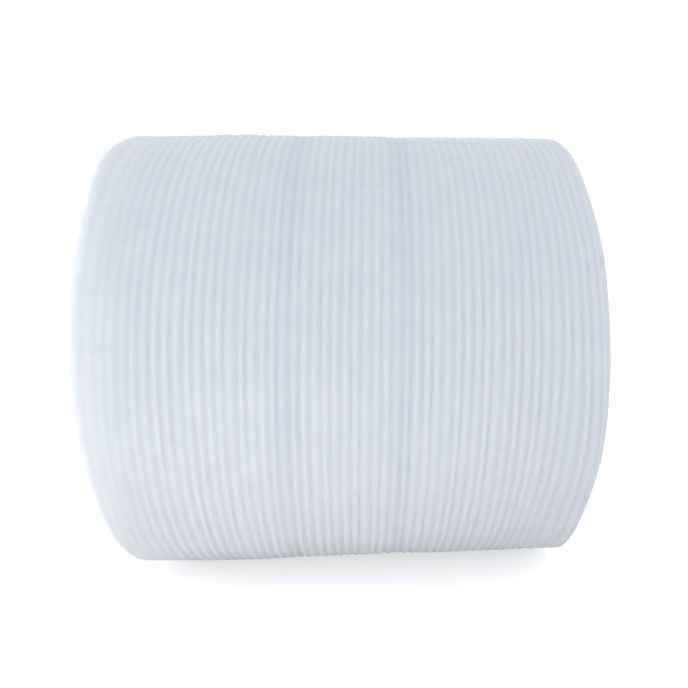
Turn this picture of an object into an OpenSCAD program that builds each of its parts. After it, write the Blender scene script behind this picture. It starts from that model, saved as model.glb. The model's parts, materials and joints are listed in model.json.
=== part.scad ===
// A roll of ribbed polyethylene foam wrap, wound without a core tube, lying on its side.
// X runs along the roll's axis with the rounded end at -X, and Z is up.
// The roll rests on the plane z = 0 on a small flat spot.
// Its turns are one solid. The gaps between them show as rings at both ends, and the loose
// end of the web is a step along the lower back.

/* [Roll] */
// Width of the foam web, which is the length of the roll
web_w = 500; // [300:10:1000]
// Outside diameter of the roll
roll_d = 510; // [380:10:700]
// Diameter of the open eye that the winding mandrel left
eye_d = 76; // [40:2:150]
// Thickness that one turn of the web takes up
turn_t = 4; // [3:0.5:8]
// Width of the flat spot that the roll rests on
flat_w = 80; // [50:5:120]
// Angle of the web's loose end about the axis, up from straight behind
tail_angle = -50; // [-60:5:-20]

/* [Ribs] */
// Distance from one rib of the web to the next
rib_pitch = 9.2; // [7:0.2:20]
// Height of a rib above the groove beside it
rib_h = 1.5; // [0.6:0.1:2.5]

/* [Ends] */
// Length of the rounded shoulder at the left end, along the axis
shoulder_w = 29; // [24:1:45]
// Reach of the shoulder from the outside of the roll towards the eye
shoulder_h = 80; // [60:5:100]
// Radius of the rounded edge at the right end
edge_r = 11; // [4:1:20]
// Depth of the gap that shows between two turns at an end
gap_h = 1.5; // [0.6:0.1:2.5]

/* [Hidden] */
$fn = 96;

roll_r = roll_d / 2;
eye_r = eye_d / 2;
end_x = web_w / 2;
margin = 10;

// The shoulder is a tight arc that runs on into a flat one. The arcs meet where the
// surface has turned through meet_angle, and their radii give the two sizes above.
meet_angle = 65;
meet_sin = sin(meet_angle);
meet_cos = cos(meet_angle);
arc_mix = meet_sin * meet_cos - (1 - meet_sin) * (1 - meet_cos);
tight_r = (shoulder_w * meet_cos - shoulder_h * (1 - meet_sin)) / arc_mix;
wide_r = (shoulder_h * meet_sin - shoulder_w * (1 - meet_cos)) / arc_mix;
tight_len = tight_r * meet_angle * PI / 180;
shoulder_x = shoulder_w - end_x;
meet_x = shoulder_x - tight_r * meet_sin;
meet_r = roll_r - tight_r * (1 - meet_cos);

// Angle turned through on the shoulder after a length of web
function shoulder_angle(len) = len < tight_len
    ? len / tight_r * 180 / PI
    : meet_angle + (len - tight_len) / wide_r * 180 / PI;

// Point [radius, x] on the shoulder where the surface has turned through an angle
function shoulder_point(angle) = angle < meet_angle
    ? [roll_r - tight_r * (1 - cos(angle)), shoulder_x - tight_r * sin(angle)]
    : [meet_r - wide_r * (meet_cos - cos(angle)), meet_x - wide_r * (sin(angle) - meet_sin)];

// X of the left end face at a radius
function left_x(radius) = radius < roll_r - shoulder_h
    ? -end_x
    : shoulder_point(acos((radius - meet_r) / wide_r + meet_cos))[1];

// The ribs start at the right edge, cross the roll and follow the shoulder inwards
// as far as the width of the web lasts.
straight_len = end_x - edge_r - shoulder_x;
ribbed_len = straight_len + shoulder_w;
rib_n = round(ribbed_len / rib_pitch);
rib_step = ribbed_len / rib_n;
// Share of a rib's height and width by which single ribs differ
unevenness = 0.25;

// Differs from rib to rib between -1 and 1 in a fixed order
function uneven(i) = sin(137.5 * i);

// Point [radius, x] at a length along the web from the right edge, sunk below its crests
function web_point(len, sink) = len < straight_len
    ? [roll_r - sink, end_x - edge_r - len]
    : let (angle = shoulder_angle(len - straight_len))
      shoulder_point(angle) - sink * [cos(angle), -sin(angle)];

// Grooves and crests of the ribs, from the right edge to the web's left edge
rib_points = [
    for (i = [0 : rib_n - 1], on_crest = [false, true])
        on_crest
            ? web_point((i + 0.5 + unevenness / 2 * uneven(3 * i)) * rib_step, 0)
            : web_point(i * rib_step, rib_h * (1 - unevenness * (1 + uneven(i)) / 2))
];
web_edge = shoulder_point(shoulder_angle(shoulder_w));

// Rounded right edge, from the end face to the outside
edge_steps = 4;
edge_points = [
    for (i = [0 : edge_steps - 1])
        let (angle = 90 * i / edge_steps)
        [roll_r - edge_r * (1 - sin(angle)), end_x - edge_r * (1 - cos(angle))]
];

// The gaps between the turns show at both ends, from just inside the web's edge to the
// last turn but one at the eye. Each turn is a crest with a gap on either side.
function turn_radius(i) = roll_r - i * turn_t;
left_first = ceil((roll_r - web_edge[0]) / turn_t) + 1;
right_first = ceil(edge_r / turn_t) + 1;
gap_last = floor((roll_r - eye_r) / turn_t) - 2;

left_face = [
    for (i = [left_first : gap_last], on_crest = [false, true])
        let (radius = turn_radius(on_crest ? i + 0.5 : i))
        [radius, left_x(radius) + (on_crest ? 0 : gap_h)]
];
right_face = [
    for (i = [gap_last : -1 : right_first], on_crest = [true, false])
        [turn_radius(on_crest ? i + 0.5 : i), end_x - (on_crest ? 0 : gap_h)]
];

// Half section of the roll as points [radius, x], from the axis at the left end round
// by the right end
section = concat(
    [[0, -end_x], [0, end_x]],
    right_face,
    edge_points,
    rib_points,
    [web_edge],
    left_face
);

// Height of the axis, and how deep the flat spot is cut into the roll
axis_z = sqrt(pow(roll_r, 2) - pow(flat_w / 2, 2));

module wound_web()
    rotate([90, 0, 90])
        rotate_extrude()
            polygon(section);

module eye()
    translate([-end_x - margin, 0, 0])
        rotate([0, 90, 0])
            cylinder(h = web_w + 2 * margin, r = eye_r);

module below_flat_spot()
    translate([-end_x - margin, -roll_r, -axis_z - roll_r])
        cube([web_w + 2 * margin, roll_d, roll_r]);

// The web under the loose end lies one turn deeper and runs out level to the outside
module beside_loose_end() {
    run_out = sqrt(pow(roll_r, 2) - pow(roll_r - turn_t, 2)) + margin;
    rotate([tail_angle, 0, 0])
        translate([-end_x - margin, roll_r - turn_t, -run_out])
            cube([web_w + 2 * margin, turn_t + margin, run_out]);
}

module foam_roll()
    color([0.86, 0.89, 0.93])
        translate([0, 0, axis_z])
            difference() {
                wound_web();
                eye();
                below_flat_spot();
                beside_loose_end();
            }

foam_roll();
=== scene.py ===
"""A roll of ribbed polyethylene foam wrap, lying on its side on a white floor.

The roll's axis runs along X with the rounded end at -X, and Z is up. The outside turn of the web,
the turns that show at the two ends and the lining of the eye are the pieces made here. Together
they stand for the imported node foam_roll. All sizes are in metres and all angles in radians.
"""

import json
import math

import bmesh
import bpy
import numpy as np
from mathutils import Matrix, Vector


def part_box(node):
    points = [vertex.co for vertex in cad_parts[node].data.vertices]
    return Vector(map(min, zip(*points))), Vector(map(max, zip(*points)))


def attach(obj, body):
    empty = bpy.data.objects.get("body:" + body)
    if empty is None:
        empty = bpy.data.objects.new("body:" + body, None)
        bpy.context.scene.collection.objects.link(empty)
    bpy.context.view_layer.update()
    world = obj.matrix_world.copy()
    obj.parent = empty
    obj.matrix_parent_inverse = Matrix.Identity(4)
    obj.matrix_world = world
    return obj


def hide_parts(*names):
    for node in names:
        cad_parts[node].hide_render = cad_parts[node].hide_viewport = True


MM = 0.001

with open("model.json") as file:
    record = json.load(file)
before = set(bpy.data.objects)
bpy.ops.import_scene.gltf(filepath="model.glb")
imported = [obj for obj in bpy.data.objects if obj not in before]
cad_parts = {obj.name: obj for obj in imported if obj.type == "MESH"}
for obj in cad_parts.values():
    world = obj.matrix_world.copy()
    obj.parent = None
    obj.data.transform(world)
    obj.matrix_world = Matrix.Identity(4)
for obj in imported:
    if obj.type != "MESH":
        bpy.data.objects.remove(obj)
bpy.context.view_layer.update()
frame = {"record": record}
lowest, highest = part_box("foam_roll")
eye_mount = next(m for m in frame["record"]["mounts"] if m["name"] == "eye")

# Sizes of the roll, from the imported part
end_x = highest.x
roll_r = (highest.y - lowest.y) / 2
axis_z = eye_mount["pos_m"][2]
eye_r = eye_mount["dims"]["r_mm"] * MM

# The web and how it is wound
turn_t = 4 * MM
foam_t = 3 * MM
tail_angle = math.radians(-50)
run_out = math.radians(40)
hidden_overlap = 45 * MM

# Ribs of the web, and how far single ribs differ in width and height and sway sideways
rib_pitch = 9.2 * MM
rib_h = 1.0 * MM
rib_width_change = 0.07
rib_height_change = 0.28
rib_sway = 0.5 * MM
rib_lean = 0.0218

# Shares by which the grooves are shallower over the shoulder and high up, and deeper low down
shoulder_fading = 0.88
high_fading = 0.35
low_deepening = 0.4

# Rounded shoulder at the left end and rounded edge at the right end
shoulder_w = 29 * MM
shoulder_h = 80 * MM
edge_r = 11 * MM
meet_angle = math.radians(65)

# The shoulder stands out by shoulder_swell, by near_top_swell more in a hump near the top, and by
# lower_loss less below the axis. The roll thins towards it by shoulder_taper at top and bottom.
shoulder_swell = 1.5 * MM
near_top_swell = 6.5 * MM
lower_loss = 3.0 * MM
shoulder_taper = 3.1 * MM

# The outside turn reaches web_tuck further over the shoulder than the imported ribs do, and the
# turns that its edge covers lie turn_tuck deeper.
web_tuck = 14 * MM
turn_tuck = 5.5 * MM

# The rim of the right end is pressed in at a low and a high place, and the outside turn gives way
# with it as far as press_reach. At the bottom the rim's edge is pressed nearly sharp.
low_press = 6.5 * MM
high_press = 2.5 * MM
press_reach = 90 * MM
pressed_edge_r = 3 * MM

# Places by height, the sine of the angle about the axis: 1 at the top of the roll, 0 level with
# the axis and -1 at the bottom. A hump has its middle and width, a fade its start and end.
swell_hump = (0.83, 0.14)
low_press_hump = (-0.62, 0.25)
high_press_hump = (0.7, 0.15)
sharp_edge_fade = (-0.75, 0.3)

# How far the loose end lifts, how unevenly it is cut, and how far from the end each dies out
flap_lift = 1.3 * MM
flap_len = 38 * MM
cut_change = 1.6 * MM
cut_change_len = 60 * MM

# Depth of the gaps between the turns at the ends, and how far it differs
turn_gap = 2.6 * MM
turn_gap_change = 1.3 * MM

# Rows of points along the two sheets past their cuts, rows along each turn at the ends, and points
# inside the half round at a sheet's edge
wrap_rows = 262
lining_rows = 118
rows_a_turn = 132
round_n = 4

# Painted light on the skin over the shoulder's front and underneath, as shares of a hollow's painted
# shade
painted_shoulder_light = 2.4
painted_underside_light = 1.6

# Two shallow hollows run round the roll where the foam is thinner, with painted shade in them
hollow_places = (-48 * MM, 58 * MM)
hollow_depth = 0.6 * MM
hollow_w = 11 * MM


def smoothstep(value, start, end):
    """0 before start, 1 after end and t^2 (3 - 2t) between them, with t the share of the way."""
    share = np.clip((value - start) / (end - start), 0.0, 1.0)
    return share * share * (3 - 2 * share)


def hump(value, middle, width):
    """exp(-t^2), with t the distance of the value from the middle, in widths."""
    return np.exp(-(((value - middle) / width) ** 2))


def soft_noise(along, across, size_along, size_across, seed):
    """Random values from -1 to 1 on a lattice with steps of that size, blended by smoothstep."""
    rows, columns = 97, 89
    lattice = np.random.default_rng(seed).uniform(-1.0, 1.0, (rows, columns))
    a, b = np.broadcast_arrays(along / size_along, across / size_across)
    a0, b0 = np.floor(a).astype(int), np.floor(b).astype(int)
    wa, wb = smoothstep(a - a0, 0, 1), smoothstep(b - b0, 0, 1)

    def corner(i, j):
        return lattice[(a0 + i) % rows, (b0 + j) % columns]

    low = corner(0, 0) * (1 - wa) + corner(1, 0) * wa
    high = corner(0, 1) * (1 - wa) + corner(1, 1) * wa
    return low * (1 - wb) + high * wb


# The shoulder is a tight arc that runs on into a wide one. The arcs meet where the surface has
# turned through meet_angle, and their radii give the shoulder's width and height.
meet_sin, meet_cos = math.sin(meet_angle), math.cos(meet_angle)
arc_mix = meet_sin * meet_cos - (1 - meet_sin) * (1 - meet_cos)
tight_r = (shoulder_w * meet_cos - shoulder_h * (1 - meet_sin)) / arc_mix
wide_r = (shoulder_h * meet_sin - shoulder_w * (1 - meet_cos)) / arc_mix
tight_len = tight_r * meet_angle
shoulder_x = shoulder_w - end_x
meet_x = shoulder_x - tight_r * meet_sin
meet_r = roll_r - tight_r * (1 - meet_cos)

# Lengths across the web are counted from the start of the right edge towards the left end.
straight_len = end_x - edge_r - shoulder_x
ribbed_len = straight_len + shoulder_w + web_tuck
rib_n = round(ribbed_len / rib_pitch)
rib_step = ribbed_len / rib_n


def corner_radius(angle):
    """Radius of the right edge at an angle about the axis: pressed_edge_r low down, then edge_r."""
    return pressed_edge_r + (edge_r - pressed_edge_r) * smoothstep(np.sin(angle), *sharp_edge_fade)


def right_press(angle):
    """How far the rim of the right end is pressed in at an angle about the axis: two humps."""
    height = np.sin(angle)
    return low_press * hump(height, *low_press_hump) + high_press * hump(height, *high_press_hump)


def web_section(length, corner_r):
    """Radius and x of the web's outside at a length across it, and the outward normal there.

    Below 0 it follows the right edge's arc of corner_r, then the straight outside, which takes up
    what the edge leaves within edge_reach, then the shoulder: the tight arc as far as tight_len,
    and the wide arc after it.
    """
    edge_reach = 40 * MM
    on_edge = np.minimum(length, 0) / edge_r
    on_shoulder = np.maximum(length - straight_len, 0)
    wide_turn = np.maximum(on_shoulder - tight_len, 0) / wide_r
    turned = np.minimum(on_shoulder, tight_len) / tight_r + wide_turn
    tight = np.minimum(turned, meet_angle)
    radius = roll_r - corner_r * (1 - np.cos(on_edge)) - tight_r * (1 - np.cos(tight))
    x = end_x - edge_r - np.clip(length, 0, straight_len) - corner_r * np.sin(on_edge)
    x = x + (edge_r - corner_r) * (1 - smoothstep(length, 0, edge_reach))
    x = x - tight_r * np.sin(tight)
    wide = np.maximum(turned, meet_angle)
    radius = radius - wide_r * (meet_cos - np.cos(wide))
    x = x - wide_r * (np.sin(wide) - meet_sin)
    angle = on_edge + turned
    return radius, x, np.cos(angle), -np.sin(angle)


def left_swell(angle):
    """How far the shoulder stands out at an angle about the axis: most near the top, least below."""
    height = np.sin(angle)
    near_top = near_top_swell * hump(height, *swell_hump)
    return shoulder_swell + near_top - lower_loss * smoothstep(-height, 0.05, 0.5)


def left_taper(angle):
    """How much thinner the roll is at the shoulder: by shoulder_taper at its top and bottom."""
    return shoulder_taper * smoothstep(np.abs(np.sin(angle)), 0.3, 1.0)


def left_face_x(radius, angle):
    """X of the left end face: flat, then the shoulder's wide arc.

    The turns follow the swell and taper of the outside turn in the last 35 mm below it, less and
    less from there to 70 mm below it, and not further in.
    """
    cosine = np.clip((radius - meet_r) / wide_r + meet_cos, 0, 1)
    wide = np.where(radius < roll_r - shoulder_h, math.pi / 2, np.arccos(cosine))
    follow = smoothstep(radius, roll_r - 70 * MM, roll_r - 35 * MM)
    stand_out = (left_swell(angle) - left_taper(angle)) * follow
    return meet_x - wide_r * (np.sin(np.maximum(wide, meet_angle)) - meet_sin) - stand_out


def right_face_x(radius, angle):
    """X of the right end face: flat, pressed in more and more towards the rim, then its arc."""
    corner_r = corner_radius(angle)
    inside = np.clip((radius - roll_r + corner_r) / corner_r, 0, 1)
    pressed = right_press(angle) * smoothstep(radius, 0.3 * roll_r, roll_r)
    return end_x - corner_r * (1 - np.sqrt(1 - inside * inside)) - pressed


def turn_drop(turns):
    """How far the outside of the web lies below roll_r, a number of turns in from its loose end.

    Near the outside each turn keeps its radius and steps down by turn_t over the run-out before
    the loose end. From the 12th turn on it is an even spiral.
    """
    whole = np.floor(turns)
    stepped = whole + smoothstep(turns - whole, 1 - run_out / (2 * math.pi), 1)
    even = smoothstep(turns, 1, 12)
    return turn_t * (stepped * (1 - even) + turns * even)


def settle(x, across, height):
    """The points as they lie on the floor, as an array of x, y, z.

    Where the round outside would be below the floor, it is raised by that much, rounded off over
    soft_step, and the rise fades out upwards over soft_depth.
    """
    soft_step = 0.4 * MM
    soft_depth = 90 * MM
    bottom = axis_z - np.sqrt(np.maximum(roll_r**2 - across**2, 0))
    rise = soft_step * np.logaddexp(0, -bottom / soft_step)
    fade = np.clip(1 - (height - bottom) / soft_depth, 0, 1) ** 2
    return np.stack([x, across, np.maximum(height + rise * fade, 0)], axis=-1)


def wind(x, radius, angle):
    """Points of the roll from x, radius and angle about the axis, settled on the floor."""
    return settle(x, radius * np.cos(angle), axis_z + radius * np.sin(angle))


def grid_quads(rows, columns, wrap=False):
    """Corner numbers of the quads of a grid, with its last column joined to the first if wrap."""
    row, column = np.meshgrid(np.arange(rows - 1), np.arange(columns - (not wrap)), indexing="ij")
    after = (column + 1) % columns
    quads = [row * columns + column, row * columns + after]
    quads += [(row + 1) * columns + after, (row + 1) * columns + column]
    return np.stack(quads, axis=-1).reshape(-1, 4)


def cap_faces(outer, inner):
    """Faces that close the cut end of a sheet, between its outer and inner rows of points.

    Each outer step is joined to the inner row's point at the same share of the way, so it makes
    a quad where that point moves on and a triangle where it doesn't.
    """
    share = np.arange(len(outer)) * (len(inner) - 1) / (len(outer) - 1)
    partner = inner[np.rint(share).astype(int)]
    corners = np.stack([outer[:-1], outer[1:], partner[1:], partner[:-1]], axis=-1)
    moved = partner[1:] != partner[:-1]
    return corners[moved].tolist() + corners[~moved][:, [0, 1, 2]].tolist()


def make_piece(name, points, faces, material, uv=None, attributes=()):
    """A smooth mesh object at the origin that rides on the roll, with its UV map and attributes."""
    mesh = bpy.data.meshes.new(name)
    mesh.from_pydata(points.reshape(-1, 3).tolist(), [], faces)
    mesh.polygons.foreach_set("use_smooth", np.ones(len(faces), bool))
    if uv is not None:
        corner_vertex = np.zeros(len(mesh.loops), int)
        mesh.loops.foreach_get("vertex_index", corner_vertex)
        layer = mesh.uv_layers.new(name="web")
        layer.data.foreach_set("uv", uv.reshape(-1, 2)[corner_vertex].astype(np.float32).ravel())
    for label, values in attributes:
        attribute = mesh.attributes.new(label, "FLOAT", "POINT")
        attribute.data.foreach_set("value", values.astype(np.float32).ravel())
    mesh.materials.append(material)
    mesh.validate()
    mesh.update()
    piece = bpy.data.objects.new(name, mesh)
    bpy.context.scene.collection.objects.link(piece)
    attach(piece, "root")
    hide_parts("foam_roll")
    return piece


# Places across one rib from valley to valley
rib_shares = np.arange(8) / 8


def rib_places():
    """Lengths across the web of the ribs' points, with the rib number and share of each.

    Valley i is at i rib steps, moved by up to rib_width_change of a step in a fixed order.
    """
    number = np.arange(rib_n + 1)
    moved = rib_width_change * (np.sin(2.4 * number) + 0.5 * np.sin(5.3 * number + 1))
    moved[[0, -1]] = 0
    valley = (number + moved) * rib_step
    lengths = valley[:-1, None] + rib_shares * np.diff(valley)[:, None]
    numbers = np.broadcast_to(number[:-1, None], lengths.shape)
    shares = np.broadcast_to(rib_shares, lengths.shape)
    return (
        np.append(lengths.ravel(), ribbed_len),
        np.append(numbers.ravel(), rib_n - 1),
        np.append(shares.ravel(), 1.0),
    )


def half_round(from_r, from_x, to_r, to_x, away_r, away_x):
    """Radius and x of a half round between two points, bulging the way that away gives."""
    turned = np.linspace(0, math.pi, round_n + 2)[1:-1]
    middle_r, middle_x = (from_r + to_r) / 2, (from_x + to_x) / 2
    half_t = np.hypot(from_r - middle_r, from_x - middle_x)
    radius = middle_r + (from_r - middle_r) * np.cos(turned) + away_r * half_t * np.sin(turned)
    x = middle_x + (from_x - middle_x) * np.cos(turned) + away_x * half_t * np.sin(turned)
    return radius, x


def sheet_section(front_r, front_x, back_r, back_x, start_away, end_away):
    """The closed section of a sheet, row by row: front, half round, back reversed, half round.

    start_away and end_away are the directions (radius, x) in which the sheet's two edges bulge.
    """
    end = half_round(front_r[:, -1:], front_x[:, -1:], back_r[:, -1:], back_x[:, -1:], *end_away)
    start = half_round(back_r[:, :1], back_x[:, :1], front_r[:, :1], front_x[:, :1], *start_away)
    all_r = np.concatenate([front_r, end[0], back_r[:, ::-1], start[0]], axis=1)
    all_x = np.concatenate([front_x, end[1], back_x[:, ::-1], start[1]], axis=1)
    return all_r, all_x


def along_section(front, pick, at_end, at_start):
    """Front values carried round the whole section: the back repeats the picked columns."""
    rows = front.shape[0]
    end = np.broadcast_to(at_end, (rows, round_n))
    start = np.broadcast_to(at_start, (rows, round_n))
    return np.concatenate([front, end, front[:, pick][:, ::-1], start], axis=1)


def every_nth(step, count):
    """Numbers below count in steps, and the last one."""
    return np.unique(np.append(np.arange(0, count, step), count - 1))


def sheet_faces(rows, front_n, back_n):
    """Faces of a sheet: its section's grid, wrapped round, and the two cut ends."""
    columns = front_n + back_n + 2 * round_n
    front = np.arange(front_n)
    back = np.arange(front_n + round_n, front_n + round_n + back_n)[::-1]
    last = (rows - 1) * columns
    faces = grid_quads(rows, columns, wrap=True).tolist()
    faces += [face[::-1] for face in cap_faces(front, back)]
    return faces + cap_faces(last + front, last + back)


def run_with_cut(length, rows):
    """Lengths along a sheet from its cut end, and how far the cut's rounding thins each side."""
    angle = np.linspace(0, math.pi / 2, 4)
    rounding = 1.1 * MM
    cut_along = rounding * (1 - np.cos(angle))
    cut_in = rounding * (1 - np.sin(angle))
    regular = np.linspace(rounding, length, rows)[1:]
    run = np.concatenate([cut_along, regular])[:, None]
    thinned = np.concatenate([cut_in, np.zeros(len(regular))])[:, None]
    return run, thinned


def web_places():
    """Lengths across the whole web of its points, with the rib number and share of each.

    First come the points on the right edge's arc, smooth as a rib's crest, and then the ribs.
    """
    edge_turn = 0.72
    edge_n = 5
    lengths, numbers, shares = rib_places()
    return (
        np.concatenate([np.linspace(-edge_turn * edge_r, 0, edge_n + 1)[:-1], lengths]),
        np.concatenate([np.zeros(edge_n), numbers]),
        np.concatenate([np.full(edge_n, 0.5), shares]),
    )


def groove_depth(run, numbers, height, on_shoulder):
    """Depth of the grooves between the ribs, as a share of rib_h.

    It differs along and between the ribs. It fades over the shoulder and high up on the roll, and
    grows low down.
    """
    depth = 1 + rib_height_change * soft_noise(run, numbers, 70 * MM, 0.8, seed=3)
    depth = depth * (1 - shoulder_fading * on_shoulder)
    depth = depth * (1 - high_fading * smoothstep(height, 0.1, 0.6))
    return depth * (1 + low_deepening * smoothstep(-height, 0.4, 0.8))


def hollow_shares(x, run):
    """About 1 in the middle of each hollow, uneven along the web, and 0 away from them."""
    shares = sum(hump(x, place, hollow_w) for place in hollow_places)
    return shares * (0.8 + 0.4 * soft_noise(run, 0, 120 * MM, 1, seed=8))


def wrap_rise(lengths, run, about, hollow):
    """How far the outside turn stands out: waves, the loose end's lift and the shoulder's swell.

    The hollows and the taper towards the shoulder are taken off. The lift is flap_lift at the
    loose end and falls with the square of what is left of flap_len.
    """
    waves = 0.55 * MM * soft_noise(run, lengths, 85 * MM, 60 * MM, seed=5)
    waves = waves + 0.25 * MM * soft_noise(run, lengths, 24 * MM, 18 * MM, seed=6)
    flap = np.clip(1 - run / flap_len, 0, 1) ** 2
    lifted = flap_lift * flap * (1 + 0.6 * soft_noise(0, lengths, 1, 80 * MM, seed=9))
    swell = left_swell(about) * smoothstep(lengths, straight_len - 3 * MM, straight_len + 16 * MM)
    swell = swell - left_taper(about) * smoothstep(lengths, straight_len - 110 * MM, straight_len)
    return lifted + swell + waves - hollow_depth * hollow


def painted_light_and_shade(lengths, about, hollow):
    """Painted shade and light on the skin: about 1 for painted shade in a hollow, below 0 for painted
    light.

    The painted light lies over the front of the shoulder and underneath the roll.
    """
    on_front = smoothstep(-np.cos(about), -0.1, 0.6)
    over_shoulder = smoothstep(lengths, straight_len - 35 * MM, straight_len + 30 * MM)
    underneath = smoothstep(-np.sin(about), 0.5, 0.9)
    return hollow - painted_shoulder_light * on_front * over_shoulder - painted_underside_light * underneath


def outer_wrap(material):
    """The outside turn of the web: a ribbed sheet with its own thickness, wound once round.

    Rows run along the web from its loose end, columns round its section: the ribbed outside from
    right to left, a half round at the left edge, the smooth inside and a half round at the right.
    A rib is (1 - cos(2 pi f)) / 2 high at the share f of its width.
    """
    lengths, numbers, shares = web_places()
    turn_len = 2 * math.pi * roll_r
    run, thinned = run_with_cut(turn_len + hidden_overlap, wrap_rows)
    turns = run / turn_len
    about = tail_angle + 2 * math.pi * turns
    radius, x, out_r, out_x = web_section(lengths, corner_radius(about))
    x = x - right_press(about) * (1 - smoothstep(lengths, 0, press_reach))
    on_shoulder = smoothstep(lengths, straight_len - 70 * MM, straight_len)
    hollow = hollow_shares(x, run)

    # Outside of the sheet, with its ribs sunk from their crests, and its smooth inside
    crest = (1 - np.cos(2 * math.pi * shares)) / 2
    sunk = rib_h * (1 - crest) * groove_depth(run, numbers, np.sin(about), on_shoulder)
    out = wrap_rise(lengths, run, about, hollow) - turn_drop(turns)
    front_out = out - sunk - thinned
    back_out = out - foam_t + thinned

    # The whole section, whose ribs sway sideways between the right edge and the shoulder
    sway = rib_sway * soft_noise(run, lengths, 75 * MM, 30 * MM, seed=4)
    sway = sway * smoothstep(lengths, 0, 30 * MM) * (1 - on_shoulder)
    pick = every_nth(9, len(lengths))
    all_r, all_x = sheet_section(
        radius + out_r * front_out,
        x + out_x * front_out + sway,
        (radius + out_r * back_out)[:, pick],
        (x + out_x * back_out + sway)[:, pick],
        (-out_x[0], out_r[0]),
        (out_x[-1], -out_r[-1]),
    )

    # The loose end is cut a little unevenly
    uneven = np.clip(1 - run / cut_change_len, 0, 1)
    cut = cut_change * soft_noise(0, lengths, 1, 55 * MM, seed=11) * uneven
    angle = about + cut / roll_r
    angle = along_section(angle, pick, angle[:, -1:], angle[:, :1])

    # The ribs lean with their height, but the web's edges don't
    lean_end_x = 195 * MM
    upright_x = 240 * MM
    upright = smoothstep(np.abs(all_x), lean_end_x, upright_x)
    all_x = all_x + rib_lean * all_r * np.sin(angle) * (1 - upright)

    points = wind(all_x, all_r, angle)
    faces = sheet_faces(len(run), len(lengths), len(pick))
    # The crest share is also painted light on the crests, with painted shade in the grooves
    crest = along_section(crest + 0 * run, pick, 1, 1)
    # Painted shade in the hollows and painted light over the shoulder's front and underneath the roll
    painted_tone = along_section(painted_light_and_shade(lengths, about, hollow), pick, 0, 0)
    across = along_section(lengths + 0 * run, pick, lengths[-1], lengths[0])
    uv = np.stack(np.broadcast_arrays(across, run), axis=-1)
    piece = make_piece("outer_wrap", points, faces, material, uv, [("crest", crest), ("painted_tone", painted_tone)])
    return piece


def end_turns(name, face_x, side, first_turn, material):
    """The cut edges of the web's turns at one end, as one long spiral strip.

    Rows run along the spiral, columns across one turn from gap to gap. Each edge is rounded and
    lies a little in or out of its neighbours, and the gaps between them differ in depth. On the
    left, side is -1, and the turns that the outside turn's edge covers are tucked under it.
    """
    last_turn = (roll_r - eye_r) / turn_t - 2
    rows = round((last_turn - first_turn) * rows_a_turn)
    turns = last_turn - np.arange(rows, -1, -1)[:, None] / rows_a_turn

    # Places across one turn, and how far each stands out of the gaps beside it
    shares = np.array([0.0, 0.09, 0.21, 0.5, 0.79, 0.91, 1.0])
    rounding = np.array([0.0, 0.62, 0.93, 1.0, 0.93, 0.62, 0.0])
    place = turns + np.round(shares)
    from_r, to_r = roll_r - turn_drop(turns), roll_r - turn_drop(turns + 1)
    radius = from_r + (to_r - from_r) * shares
    angle = tail_angle + 2 * math.pi * (turns + 0 * shares)

    # Unevenness of the gaps and the edges, and of the stack of turns as a whole
    gap = turn_gap + turn_gap_change * soft_noise(place, 0, 0.13, 1, seed=21 + side)
    edge = 0.9 * MM * soft_noise(turns, 0, 0.37, 1, seed=31 + side)
    edge = edge + 0.35 * MM * soft_noise(turns, 0, 0.06, 1, seed=35 + side)
    stack = 0.8 * MM * soft_noise(radius, np.cos(angle), 17 * MM, 0.9, seed=41 + side)
    tucked = turn_tuck * smoothstep(radius, roll_r - 39 * MM, roll_r - 32 * MM) * (side < 0)
    x = face_x(radius, angle) + side * (stack + edge * rounding - gap * (1 - rounding) - tucked)
    points = wind(x, radius, angle)

    quads = grid_quads(rows + 1, len(shares))
    faces = (quads if side < 0 else quads[:, ::-1]).tolist()
    # How deep into a gap each point lies, which the cut edges' material paints as shade
    depth = 1 - rounding + 0 * turns
    tone = soft_noise(np.floor(turns) + 0 * shares, angle, 1, 1.7, seed=61 + side)
    piece = make_piece(name, points, faces, material, attributes=[("depth", depth), ("tone", tone)])
    close_turns(piece)
    return piece


def close_turns(piece):
    """Joins the points where two turns of a spiral strip meet, which closes the gap's floor."""
    shape = bmesh.new()
    shape.from_mesh(piece.data)
    bmesh.ops.remove_doubles(shape, verts=shape.verts, dist=0.001 * MM)
    shape.to_mesh(piece.data)
    shape.free()


def eye_lining(material):
    """The innermost turn: a sheet round the open eye, with its cut inner end and faint ribs.

    Its inside is eye_r from the axis at the cut end and one turn's thickness more a turn later.
    """
    lining_overlap = 16 * MM
    lining_rib_h = 0.4 * MM
    inner_turn_len = 2 * math.pi * (eye_r + turn_t / 2)
    run, thinned = run_with_cut(inner_turn_len + lining_overlap, lining_rows)
    share = run / inner_turn_len
    reach = end_x - foam_t / 2 - 3 * MM * smoothstep(share, 0.98, 1.0)
    column_x = np.linspace(1, -1, 4 * rib_n + 1)
    x = reach * column_x
    crest = np.abs(np.sin(math.pi * (column_x + 1) * end_x / rib_step)) + 0 * run
    wall = eye_r + turn_t * share + 0.5 * MM * soft_noise(run, x, 30 * MM, 60 * MM, seed=71)
    front_r = wall + lining_rib_h * (1 - crest) + thinned
    back_r = wall + foam_t - thinned
    pick = every_nth(6, len(column_x))
    all_r, all_x = sheet_section(front_r, x, back_r[:, pick], x[:, pick], (0, 1), (0, -1))
    angle = tail_angle + 2 * math.pi * ((roll_r - eye_r) / turn_t - share)
    points = wind(all_x, all_r, angle + 0 * all_r)
    faces = sheet_faces(len(run), len(column_x), len(pick))
    # Its crest share is painted light on the lining's crests, with painted shade in the grooves
    crest = along_section(crest, pick, 1, 1)
    uv = np.stack([all_x, run + 0 * all_x], axis=-1)
    # The lining gets no painted shade from hollows and no painted light from the shoulder or underside
    attributes = [("crest", crest), ("painted_tone", 0 * crest)]
    piece = make_piece("eye_lining", points, faces, material, uv, attributes)
    return piece


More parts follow.
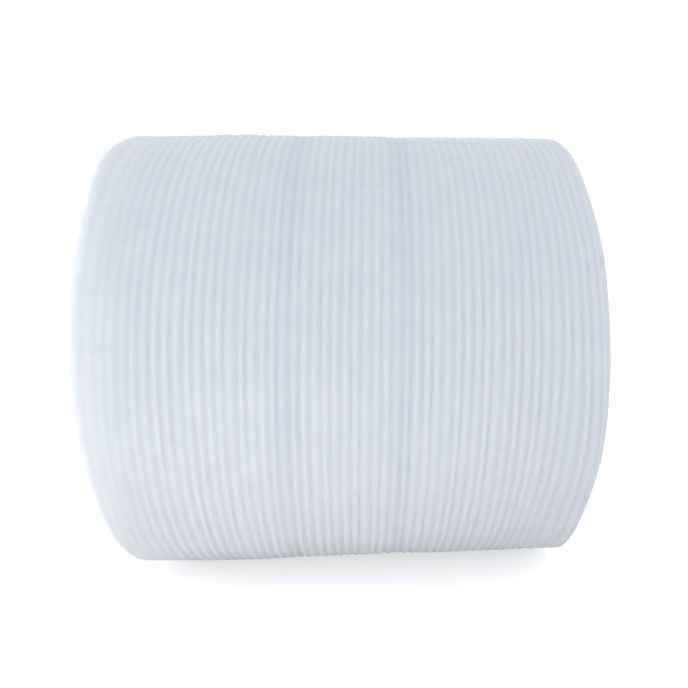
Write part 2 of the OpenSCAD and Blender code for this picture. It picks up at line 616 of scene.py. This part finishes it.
class Nodes:
    """A node tree with short calls to add a node, set its inputs and join sockets."""

    def __init__(self, tree):
        self.tree = tree

    def add(self, kind, values=(), **settings):
        node = self.tree.nodes.new(kind)
        for key, value in settings.items():
            setattr(node, key, value)
        for key, value in dict(values).items():
            node.inputs[key].default_value = value
        return node

    def join(self, source, target):
        self.tree.links.new(source, target)

    def scaled(self, source, factor):
        """Output of source * factor."""
        node = self.add("ShaderNodeMath", {1: factor}, operation="MULTIPLY")
        self.join(source, node.inputs[0])
        return node.outputs[0]

    def scaled_onto(self, base, source, factor):
        """Output of base + source * factor."""
        node = self.add("ShaderNodeMath", {1: factor}, operation="MULTIPLY_ADD")
        self.join(source, node.inputs[0])
        self.join(base, node.inputs[2])
        return node.outputs[0]

    def ranged(self, source, **limits):
        """Output of source mapped from one range to another, each 0 to 1 where no limit is given."""
        values = {name.replace("_", " ").title(): limit for name, limit in limits.items()}
        node = self.add("ShaderNodeMapRange", values)
        self.join(source, node.inputs["Value"])
        return node.outputs["Result"]

    def between(self, low_colour, high_colour, share):
        """Output of the colour at a share of the way between two colours."""
        node = self.add("ShaderNodeMix", data_type="RGBA")
        node.inputs["A"].default_value = low_colour
        node.inputs["B"].default_value = high_colour
        self.join(share, node.inputs["Factor"])
        return node.outputs["Result"]

    def seen_by_camera(self):
        """Output of 1 for rays from the camera, off a gloss or through glass, and 0 for the rest."""
        path = self.add("ShaderNodeLightPath")
        straight = self.add("ShaderNodeMath", operation="MAXIMUM")
        self.join(path.outputs["Is Camera Ray"], straight.inputs[0])
        self.join(path.outputs["Is Glossy Ray"], straight.inputs[1])
        seen = self.add("ShaderNodeMath", operation="MAXIMUM")
        self.join(straight.outputs[0], seen.inputs[0])
        self.join(path.outputs["Is Transmission Ray"], seen.inputs[1])
        return seen.outputs[0]


def foam_cells_group():
    """Node group of the foam's skin: small closed cells under a crinkled film.

    Height goes from 0 to 1: rounded cells, then a finer and a coarser noise. Mottle is a slow
    change of tone from 0 to 1, from how dense the foam is.
    """
    group = bpy.data.node_groups.new("foam_cells", "ShaderNodeTree")
    face = group.interface
    face.new_socket("Vector", in_out="INPUT", socket_type="NodeSocketVector")
    face.new_socket("Cells per metre", in_out="INPUT", socket_type="NodeSocketFloat")
    face.new_socket("Height", in_out="OUTPUT", socket_type="NodeSocketFloat")
    face.new_socket("Mottle", in_out="OUTPUT", socket_type="NodeSocketFloat")
    n = Nodes(group)
    given = n.add("NodeGroupInput")
    put_out = n.add("NodeGroupOutput")
    cells = n.add("ShaderNodeTexVoronoi", {"Smoothness": 0.6}, feature="SMOOTH_F1")
    n.join(given.outputs["Vector"], cells.inputs["Vector"])
    n.join(given.outputs["Cells per metre"], cells.inputs["Scale"])
    coarser = n.scaled(given.outputs["Cells per metre"], 0.33)
    film = n.add("ShaderNodeTexNoise", {"Detail": 4.0, "Roughness": 0.6})
    n.join(given.outputs["Vector"], film.inputs["Vector"])
    n.join(coarser, film.inputs["Scale"])
    height = n.add("ShaderNodeMix", {"Factor": 0.6}, data_type="FLOAT")
    n.join(cells.outputs["Distance"], height.inputs["A"])
    n.join(film.outputs["Fac"], height.inputs["B"])
    n.join(height.outputs["Result"], put_out.inputs["Height"])
    slow = n.scaled(given.outputs["Cells per metre"], 0.06)
    mottle = n.add("ShaderNodeTexNoise", {"Detail": 3.0, "Roughness": 0.55})
    n.join(given.outputs["Vector"], mottle.inputs["Vector"])
    n.join(slow, mottle.inputs["Scale"])
    n.join(mottle.outputs["Fac"], put_out.inputs["Mottle"])
    return group


# Linear colours of the foam's skin at its lightest and darkest, and of its cut edges
foam_light = (0.825, 0.875, 0.970, 1.0)
foam_shade = (0.640, 0.692, 0.800, 1.0)
# The cut edges' colours are painted darker than the skin's, as the shade of the gaps between turns
cut_light = (0.720, 0.765, 0.850, 1.0)
cut_shade = (0.440, 0.485, 0.570, 1.0)

# What each thing adds to the tone of the skin or of the cut edges, and the range of tones that
# runs from their darkest colour to their lightest
streak_tone = 0.3
# Painted light on the rib crests, which leaves painted shade in the grooves
painted_crest_light = 0.1
mottle_tone = 0.35
# Painted shade in the hollows; the same factor carries the painted light over the shoulder and
# underneath
painted_hollow_shade = -0.25
skin_tones = (0.13, 0.9)
turn_tone = 0.22
# Painted shade in the gaps between the turns
painted_gap_shade = -0.9
cut_tones = (-0.4, 0.8)

# Cells of the foam in a metre
skin_cells = 620.0
cut_cells = 900.0


def foam_shader(n, roughness):
    """The foam's Principled shader: satin and light-scattering, with its mean roughness."""
    fixed = {
        "Roughness": roughness,
        "Specular IOR Level": 0.35,
        "Sheen Weight": 0.12,
        "Sheen Roughness": 0.5,
        "Subsurface Weight": 0.5,
        "Subsurface Radius": (1.0, 1.0, 1.1),
        "Subsurface Scale": 0.006,
    }
    shader = n.add("ShaderNodeBsdfPrincipled", fixed)
    output = n.add("ShaderNodeOutputMaterial")
    n.join(shader.outputs["BSDF"], output.inputs["Surface"])
    return shader


def blank_material(name):
    """A material with an empty node tree, and the tree's short calls."""
    material = bpy.data.materials.new(name)
    material.use_nodes = True
    material.node_tree.nodes.clear()
    return material, Nodes(material.node_tree)


def ribbed_foam(cells_group):
    """Streaked web skin: painted light on crests, shoulder and underside, painted shade in hollows."""
    material, n = blank_material("ribbed_foam")
    shader = foam_shader(n, roughness=0.6)
    coordinates = n.add("ShaderNodeTexCoord")
    cells = n.add("ShaderNodeGroup", node_tree=cells_group)
    cells.inputs["Cells per metre"].default_value = skin_cells
    n.join(coordinates.outputs["Object"], cells.inputs["Vector"])

    # Streaks are long along the web and narrow across it
    stretch = n.add("ShaderNodeMapping", {"Scale": (260.0, 34.0, 1.0)})
    n.join(coordinates.outputs["UV"], stretch.inputs["Vector"])
    streaks = n.add("ShaderNodeTexNoise", {"Scale": 1.0, "Detail": 3.0, "Roughness": 0.6})
    n.join(stretch.outputs["Vector"], streaks.inputs["Vector"])

    crest = n.add("ShaderNodeAttribute", attribute_name="crest")
    painted_tone = n.add("ShaderNodeAttribute", attribute_name="painted_tone")
    tone = n.scaled(streaks.outputs["Fac"], streak_tone)
    # Painted light on the crests, with painted shade in the grooves between them
    tone = n.scaled_onto(tone, crest.outputs["Fac"], painted_crest_light)
    tone = n.scaled_onto(tone, cells.outputs["Mottle"], mottle_tone)
    # Painted shade in the hollows and painted light over the shoulder's front and underneath
    tone = n.scaled_onto(tone, painted_tone.outputs["Fac"], painted_hollow_shade)
    share = n.ranged(tone, from_min=skin_tones[0], from_max=skin_tones[1])
    n.join(n.between(foam_shade, foam_light, share), shader.inputs["Base Color"])
    roughness = n.ranged(streaks.outputs["Fac"], to_min=0.5, to_max=0.72)
    n.join(roughness, shader.inputs["Roughness"])

    relief = n.add("ShaderNodeMix", {"Factor": 0.45}, data_type="FLOAT")
    n.join(cells.outputs["Height"], relief.inputs["A"])
    n.join(streaks.outputs["Fac"], relief.inputs["B"])
    bump = n.add("ShaderNodeBump", {"Strength": 0.5, "Distance": 0.9 * MM})
    n.join(relief.outputs["Result"], bump.inputs["Height"])
    n.join(bump.outputs["Normal"], shader.inputs["Normal"])
    return material


def cut_foam(cells_group):
    """The web's cut edges: open cells, a tone of its own for each turn, and painted shade overall and
    in the gaps.
    """
    material, n = blank_material("cut_foam")
    shader = foam_shader(n, roughness=0.75)
    coordinates = n.add("ShaderNodeTexCoord")
    cells = n.add("ShaderNodeGroup", node_tree=cells_group)
    cells.inputs["Cells per metre"].default_value = cut_cells
    n.join(coordinates.outputs["Object"], cells.inputs["Vector"])
    depth = n.add("ShaderNodeAttribute", attribute_name="depth")
    own_tone = n.add("ShaderNodeAttribute", attribute_name="tone")
    tone = n.scaled_onto(cells.outputs["Mottle"], own_tone.outputs["Fac"], turn_tone)
    # Painted shade deep in the gaps between the turns
    tone = n.scaled_onto(tone, depth.outputs["Fac"], painted_gap_shade)
    share = n.ranged(tone, from_min=cut_tones[0], from_max=cut_tones[1])
    n.join(n.between(cut_shade, cut_light, share), shader.inputs["Base Color"])
    roughness = n.ranged(cells.outputs["Mottle"], to_min=0.65, to_max=0.85)
    n.join(roughness, shader.inputs["Roughness"])
    bump = n.add("ShaderNodeBump", {"Strength": 0.7, "Distance": 0.8 * MM})
    n.join(cells.outputs["Height"], bump.inputs["Height"])
    n.join(bump.outputs["Normal"], shader.inputs["Normal"])
    return material


def white_floor():
    """A floor that keeps the roll's soft shadow and is plain white to the camera elsewhere."""
    floor_colour = (0.715, 0.705, 0.69, 1.0)
    floor_lift = 0.56
    reach = 14.0
    material, n = blank_material("white_floor")
    diffuse = n.add("ShaderNodeBsdfDiffuse", {"Color": floor_colour})
    lift = n.scaled(n.seen_by_camera(), floor_lift)
    glow = n.add("ShaderNodeEmission", {"Color": (1.0, 1.0, 1.0, 1.0)})
    n.join(lift, glow.inputs["Strength"])
    both = n.add("ShaderNodeAddShader")
    n.join(diffuse.outputs[0], both.inputs[0])
    n.join(glow.outputs[0], both.inputs[1])
    output = n.add("ShaderNodeOutputMaterial")
    n.join(both.outputs[0], output.inputs["Surface"])
    mesh = bpy.data.meshes.new("floor")
    corners = [(-reach, -reach, 0), (reach, -reach, 0), (reach, reach, 0), (-reach, reach, 0)]
    mesh.from_pydata(corners, [], [(0, 1, 2, 3)])
    mesh.materials.append(material)
    floor = bpy.data.objects.new("floor", mesh)
    bpy.context.scene.collection.objects.link(floor)


def studio_world():
    """Soft light all round, brighter from the left and dimmer from above, and white to the camera."""
    world = bpy.data.worlds.new("studio")
    bpy.context.scene.world = world
    world.use_nodes = True
    world.node_tree.nodes.clear()
    n = Nodes(world.node_tree)
    direction = n.add("ShaderNodeTexCoord")
    split = n.add("ShaderNodeSeparateXYZ")
    n.join(direction.outputs["Generated"], split.inputs[0])
    side = n.ranged(split.outputs["X"], from_min=-1.0, from_max=1.0, to_min=1.08, to_max=0.9)
    height = n.ranged(split.outputs["Z"], from_min=0.0, from_max=1.0, to_min=0.965, to_max=0.82)
    strength = n.add("ShaderNodeMath", operation="MULTIPLY")
    n.join(side, strength.inputs[0])
    n.join(height, strength.inputs[1])
    soft = n.add("ShaderNodeBackground", {"Color": (0.972, 0.983, 1.0, 1.0)})
    n.join(strength.outputs[0], soft.inputs["Strength"])
    white = n.add("ShaderNodeBackground", {"Color": (1.0, 1.0, 1.0, 1.0), "Strength": 1.0})
    mix = n.add("ShaderNodeMixShader")
    n.join(n.seen_by_camera(), mix.inputs[0])
    n.join(soft.outputs[0], mix.inputs[1])
    n.join(white.outputs[0], mix.inputs[2])
    output = n.add("ShaderNodeOutputWorld")
    n.join(mix.outputs[0], output.inputs["Surface"])


def soft_lamp(name, place, aim, size, power, spread=180, colour=(1.0, 1.0, 1.0)):
    """A square area lamp at a place, turned towards its aim, that shines over spread degrees."""
    light = bpy.data.lights.new(name, "AREA")
    light.shape = "SQUARE"
    light.size = size
    light.energy = power
    light.color = colour
    light.spread = math.radians(spread)
    lamp = bpy.data.objects.new(name, light)
    lamp.visible_camera = False
    lamp.location = place
    lamp.rotation_euler = (Vector(aim) - Vector(place)).to_track_quat("-Z", "Y").to_euler()
    bpy.context.scene.collection.objects.link(lamp)


def photo_camera():
    """The camera, fitted to the roll's outline and ribs, and raised round the roll's axis.

    Level, it stands at its distance in front of the axis and a little right of the middle. It is
    then turned about the axis by its height angle, which the roll's round shape leaves free.
    """
    distance = 823.3 * MM
    right_of_middle = 22.1 * MM
    height_angle = math.radians(8)
    yaw, pitch, roll = math.radians(-4.714), math.radians(-0.02), math.radians(0.716)
    place = Vector((right_of_middle, -distance, 0))
    raised = Matrix.Rotation(-height_angle, 3, "X")
    aimed = Matrix.Rotation(yaw, 3, "Z") @ Matrix.Rotation(pitch, 3, "X")
    aimed = aimed @ Matrix.Rotation(roll, 3, "Y")
    camera_data = bpy.data.cameras.new("camera")
    camera_data.sensor_width = 36
    camera_data.lens = 33.52
    camera_data.shift_x = -0.10618
    camera_data.shift_y = 0.0018
    camera_data.clip_start = 0.02
    camera = bpy.data.objects.new("camera", camera_data)
    turned = raised @ aimed @ Matrix.Rotation(math.pi / 2, 3, "X")
    stand = Matrix.Translation(Vector((0, 0, axis_z)) + raised @ place)
    camera.matrix_world = stand @ turned.to_4x4()
    bpy.context.scene.collection.objects.link(camera)
    bpy.context.scene.camera = camera


cells_group = foam_cells_group()
skin = ribbed_foam(cells_group)
cut = cut_foam(cells_group)
outer_wrap(skin)
end_turns("left_end_turns", left_face_x, -1, 3, cut)
end_turns("right_end_turns", right_face_x, 1, 1, cut)
eye_lining(skin)

white_floor()
studio_world()

# Lamps on both sides, in front and behind, and warm ones that shine down on the floor in front
warm = (1.0, 0.96, 0.90)
soft_lamp("left_light", (-2.3, 0.1, 0.3), (0, 0, 0.25), 1.0, 21)
soft_lamp("front_light", (-1.0, -2.2, 0.4), (0, 0, 0.2), 0.8, 6)
soft_lamp("right_light", (2.2, 0.9, 0.4), (0, 0, 0.25), 1.0, 14)
soft_lamp("back_light", (1.2, 2.2, 0.9), (0, 0, 0.25), 1.0, 6)
soft_lamp("low_light", (-1.3, -0.7, 0.12), (0, -0.2, 0.1), 0.4, 1.5)
soft_lamp("floor_light", (-0.45, -0.95, 0.8), (-0.45, -0.95, 0), 0.8, 1.2, spread=80, colour=warm)
soft_lamp("near_floor_light", (-0.05, -0.5, 0.35), (-0.05, -0.5, 0), 0.4, 0.35, spread=60, colour=warm)
photo_camera()
bpy.context.scene.view_settings.view_transform = "Standard"
